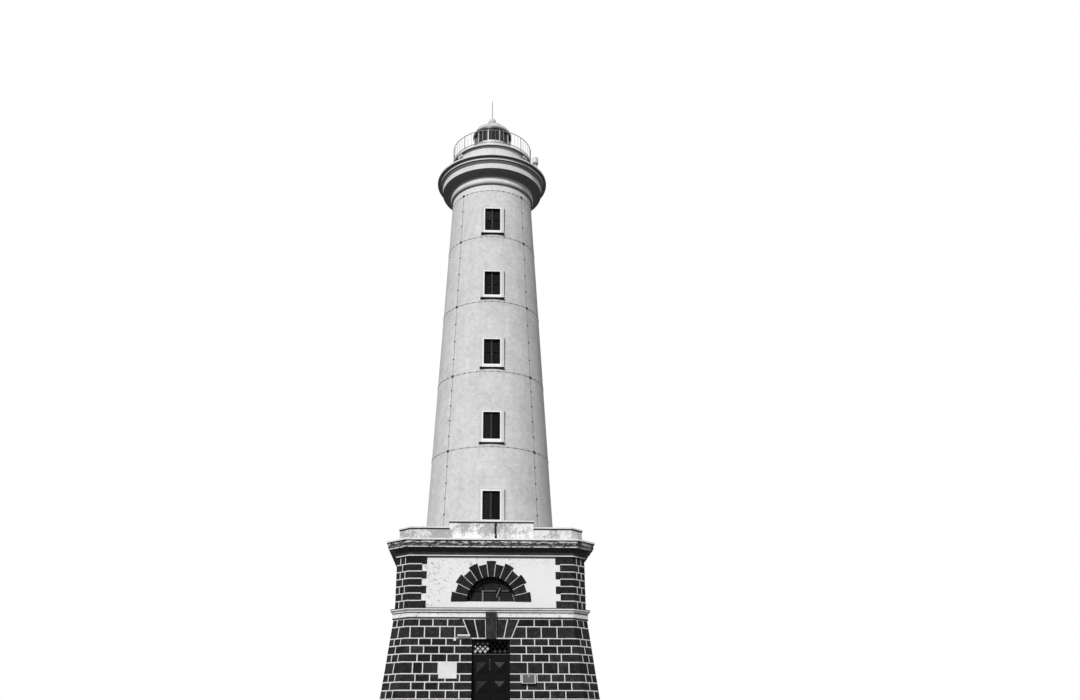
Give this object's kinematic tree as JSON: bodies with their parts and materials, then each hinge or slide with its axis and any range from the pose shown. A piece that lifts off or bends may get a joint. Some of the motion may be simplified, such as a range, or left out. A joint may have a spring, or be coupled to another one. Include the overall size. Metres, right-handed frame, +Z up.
{
  "type": "stone lighthouse tower",
  "caption": "Tall round masonry lighthouse on a square two-storey stone base, with a corbelled gallery, a glazed lantern and panelled double entrance doors that open.",
  "frame": {"origin": "centre of the building's footprint, on the ground under the stone base", "axes": "+Z up the tower, +X to the right of someone facing the entrance door, +Y from the door towards the back of the building"},
  "size_m": [7.85, 7.85, 29.049],
  "materials": {
    "dark_stone": "rough split",
    "pale_stone": "weathered",
    "floor_stone": "worn",
    "plaster": "mottled limewash over masonry",
    "frame_wood": "weathered paint",
    "shutter_wood": "weathered dark paint",
    "door_wood": "dark paint",
    "window_glass": "clear",
    "lantern_glass": "clear",
    "lens_glass": "polished",
    "lantern_metal": "satin",
    "roof_metal": "weathered",
    "railing_iron": "satin",
    "fitting_metal": "satin",
    "board_white": "matt"
  },
  "bodies": {
    "building": {"ground_floor": "floor_stone", "door_threshold": "dark_stone", "front_wall_left": "dark_stone", "front_wall_right": "dark_stone", "front_wall_over_door": "dark_stone", "left_wall": "dark_stone", "right_wall": "dark_stone", "back_wall": "dark_stone", "door_arch": "dark_stone", "door_keystone": "dark_stone", "string_course": "pale_stone", "first_floor": "floor_stone", "front_upper_wall": "plaster", "left_upper_wall": "plaster", "right_upper_wall": "plaster", "back_upper_wall": "plaster", "corner_quoins": "dark_stone", "lunette_arches": "dark_stone", "lunette_frames": "frame_wood", "lunette_glass": "window_glass", "base_cornice": "pale_stone", "terrace": "floor_stone", "attic_parapet": "plaster", "attic_coping": "pale_stone", "shaft_lift_1": "plaster", "shaft_lift_2": "plaster", "shaft_lift_3": "plaster", "shaft_lift_4": "plaster", "shaft_lift_5": "plaster", "window_surrounds": "pale_stone", "window_shutters": "shutter_wood", "window_casements": "shutter_wood", "window_glass": "window_glass", "lightning_conductors": "railing_iron", "gallery_cornice": "pale_stone", "gallery_slab": "pale_stone", "lantern_drum": "plaster", "upper_slab": "pale_stone", "slab_brackets": "pale_stone", "gallery_railing": "railing_iron", "lantern_wall": "lantern_metal", "lantern_frame": "lantern_metal", "lantern_glass": "lantern_glass", "lantern_roof": "roof_metal", "roof_vent": "roof_metal", "lightning_rod": "railing_iron", "lens_pedestal": "lantern_metal", "lens": "lens_glass", "gallery_lamp": "fitting_metal", "door_frame": "door_wood", "transom_grille": "railing_iron", "notice_board": "board_white", "meter_box": "fitting_metal", "wall_lamp": "fitting_metal"},
    "left_leaf": {"door_leaf_left": "door_wood"},
    "right_leaf": {"door_leaf_right": "door_wood"}
  },
  "joints": [
    {"name": "left_leaf_hinge", "type": "hinge", "parent": "building", "child": "left_leaf", "pos_m": [-0.605, -3.3404, 1.5], "axis": [0, 0, 1], "range_deg": [0, 90]},
    {"name": "right_leaf_hinge", "type": "hinge", "parent": "building", "child": "right_leaf", "pos_m": [0.605, -3.3404, 1.5], "axis": [0, 0, -1], "range_deg": [0, 90]}
  ]
}
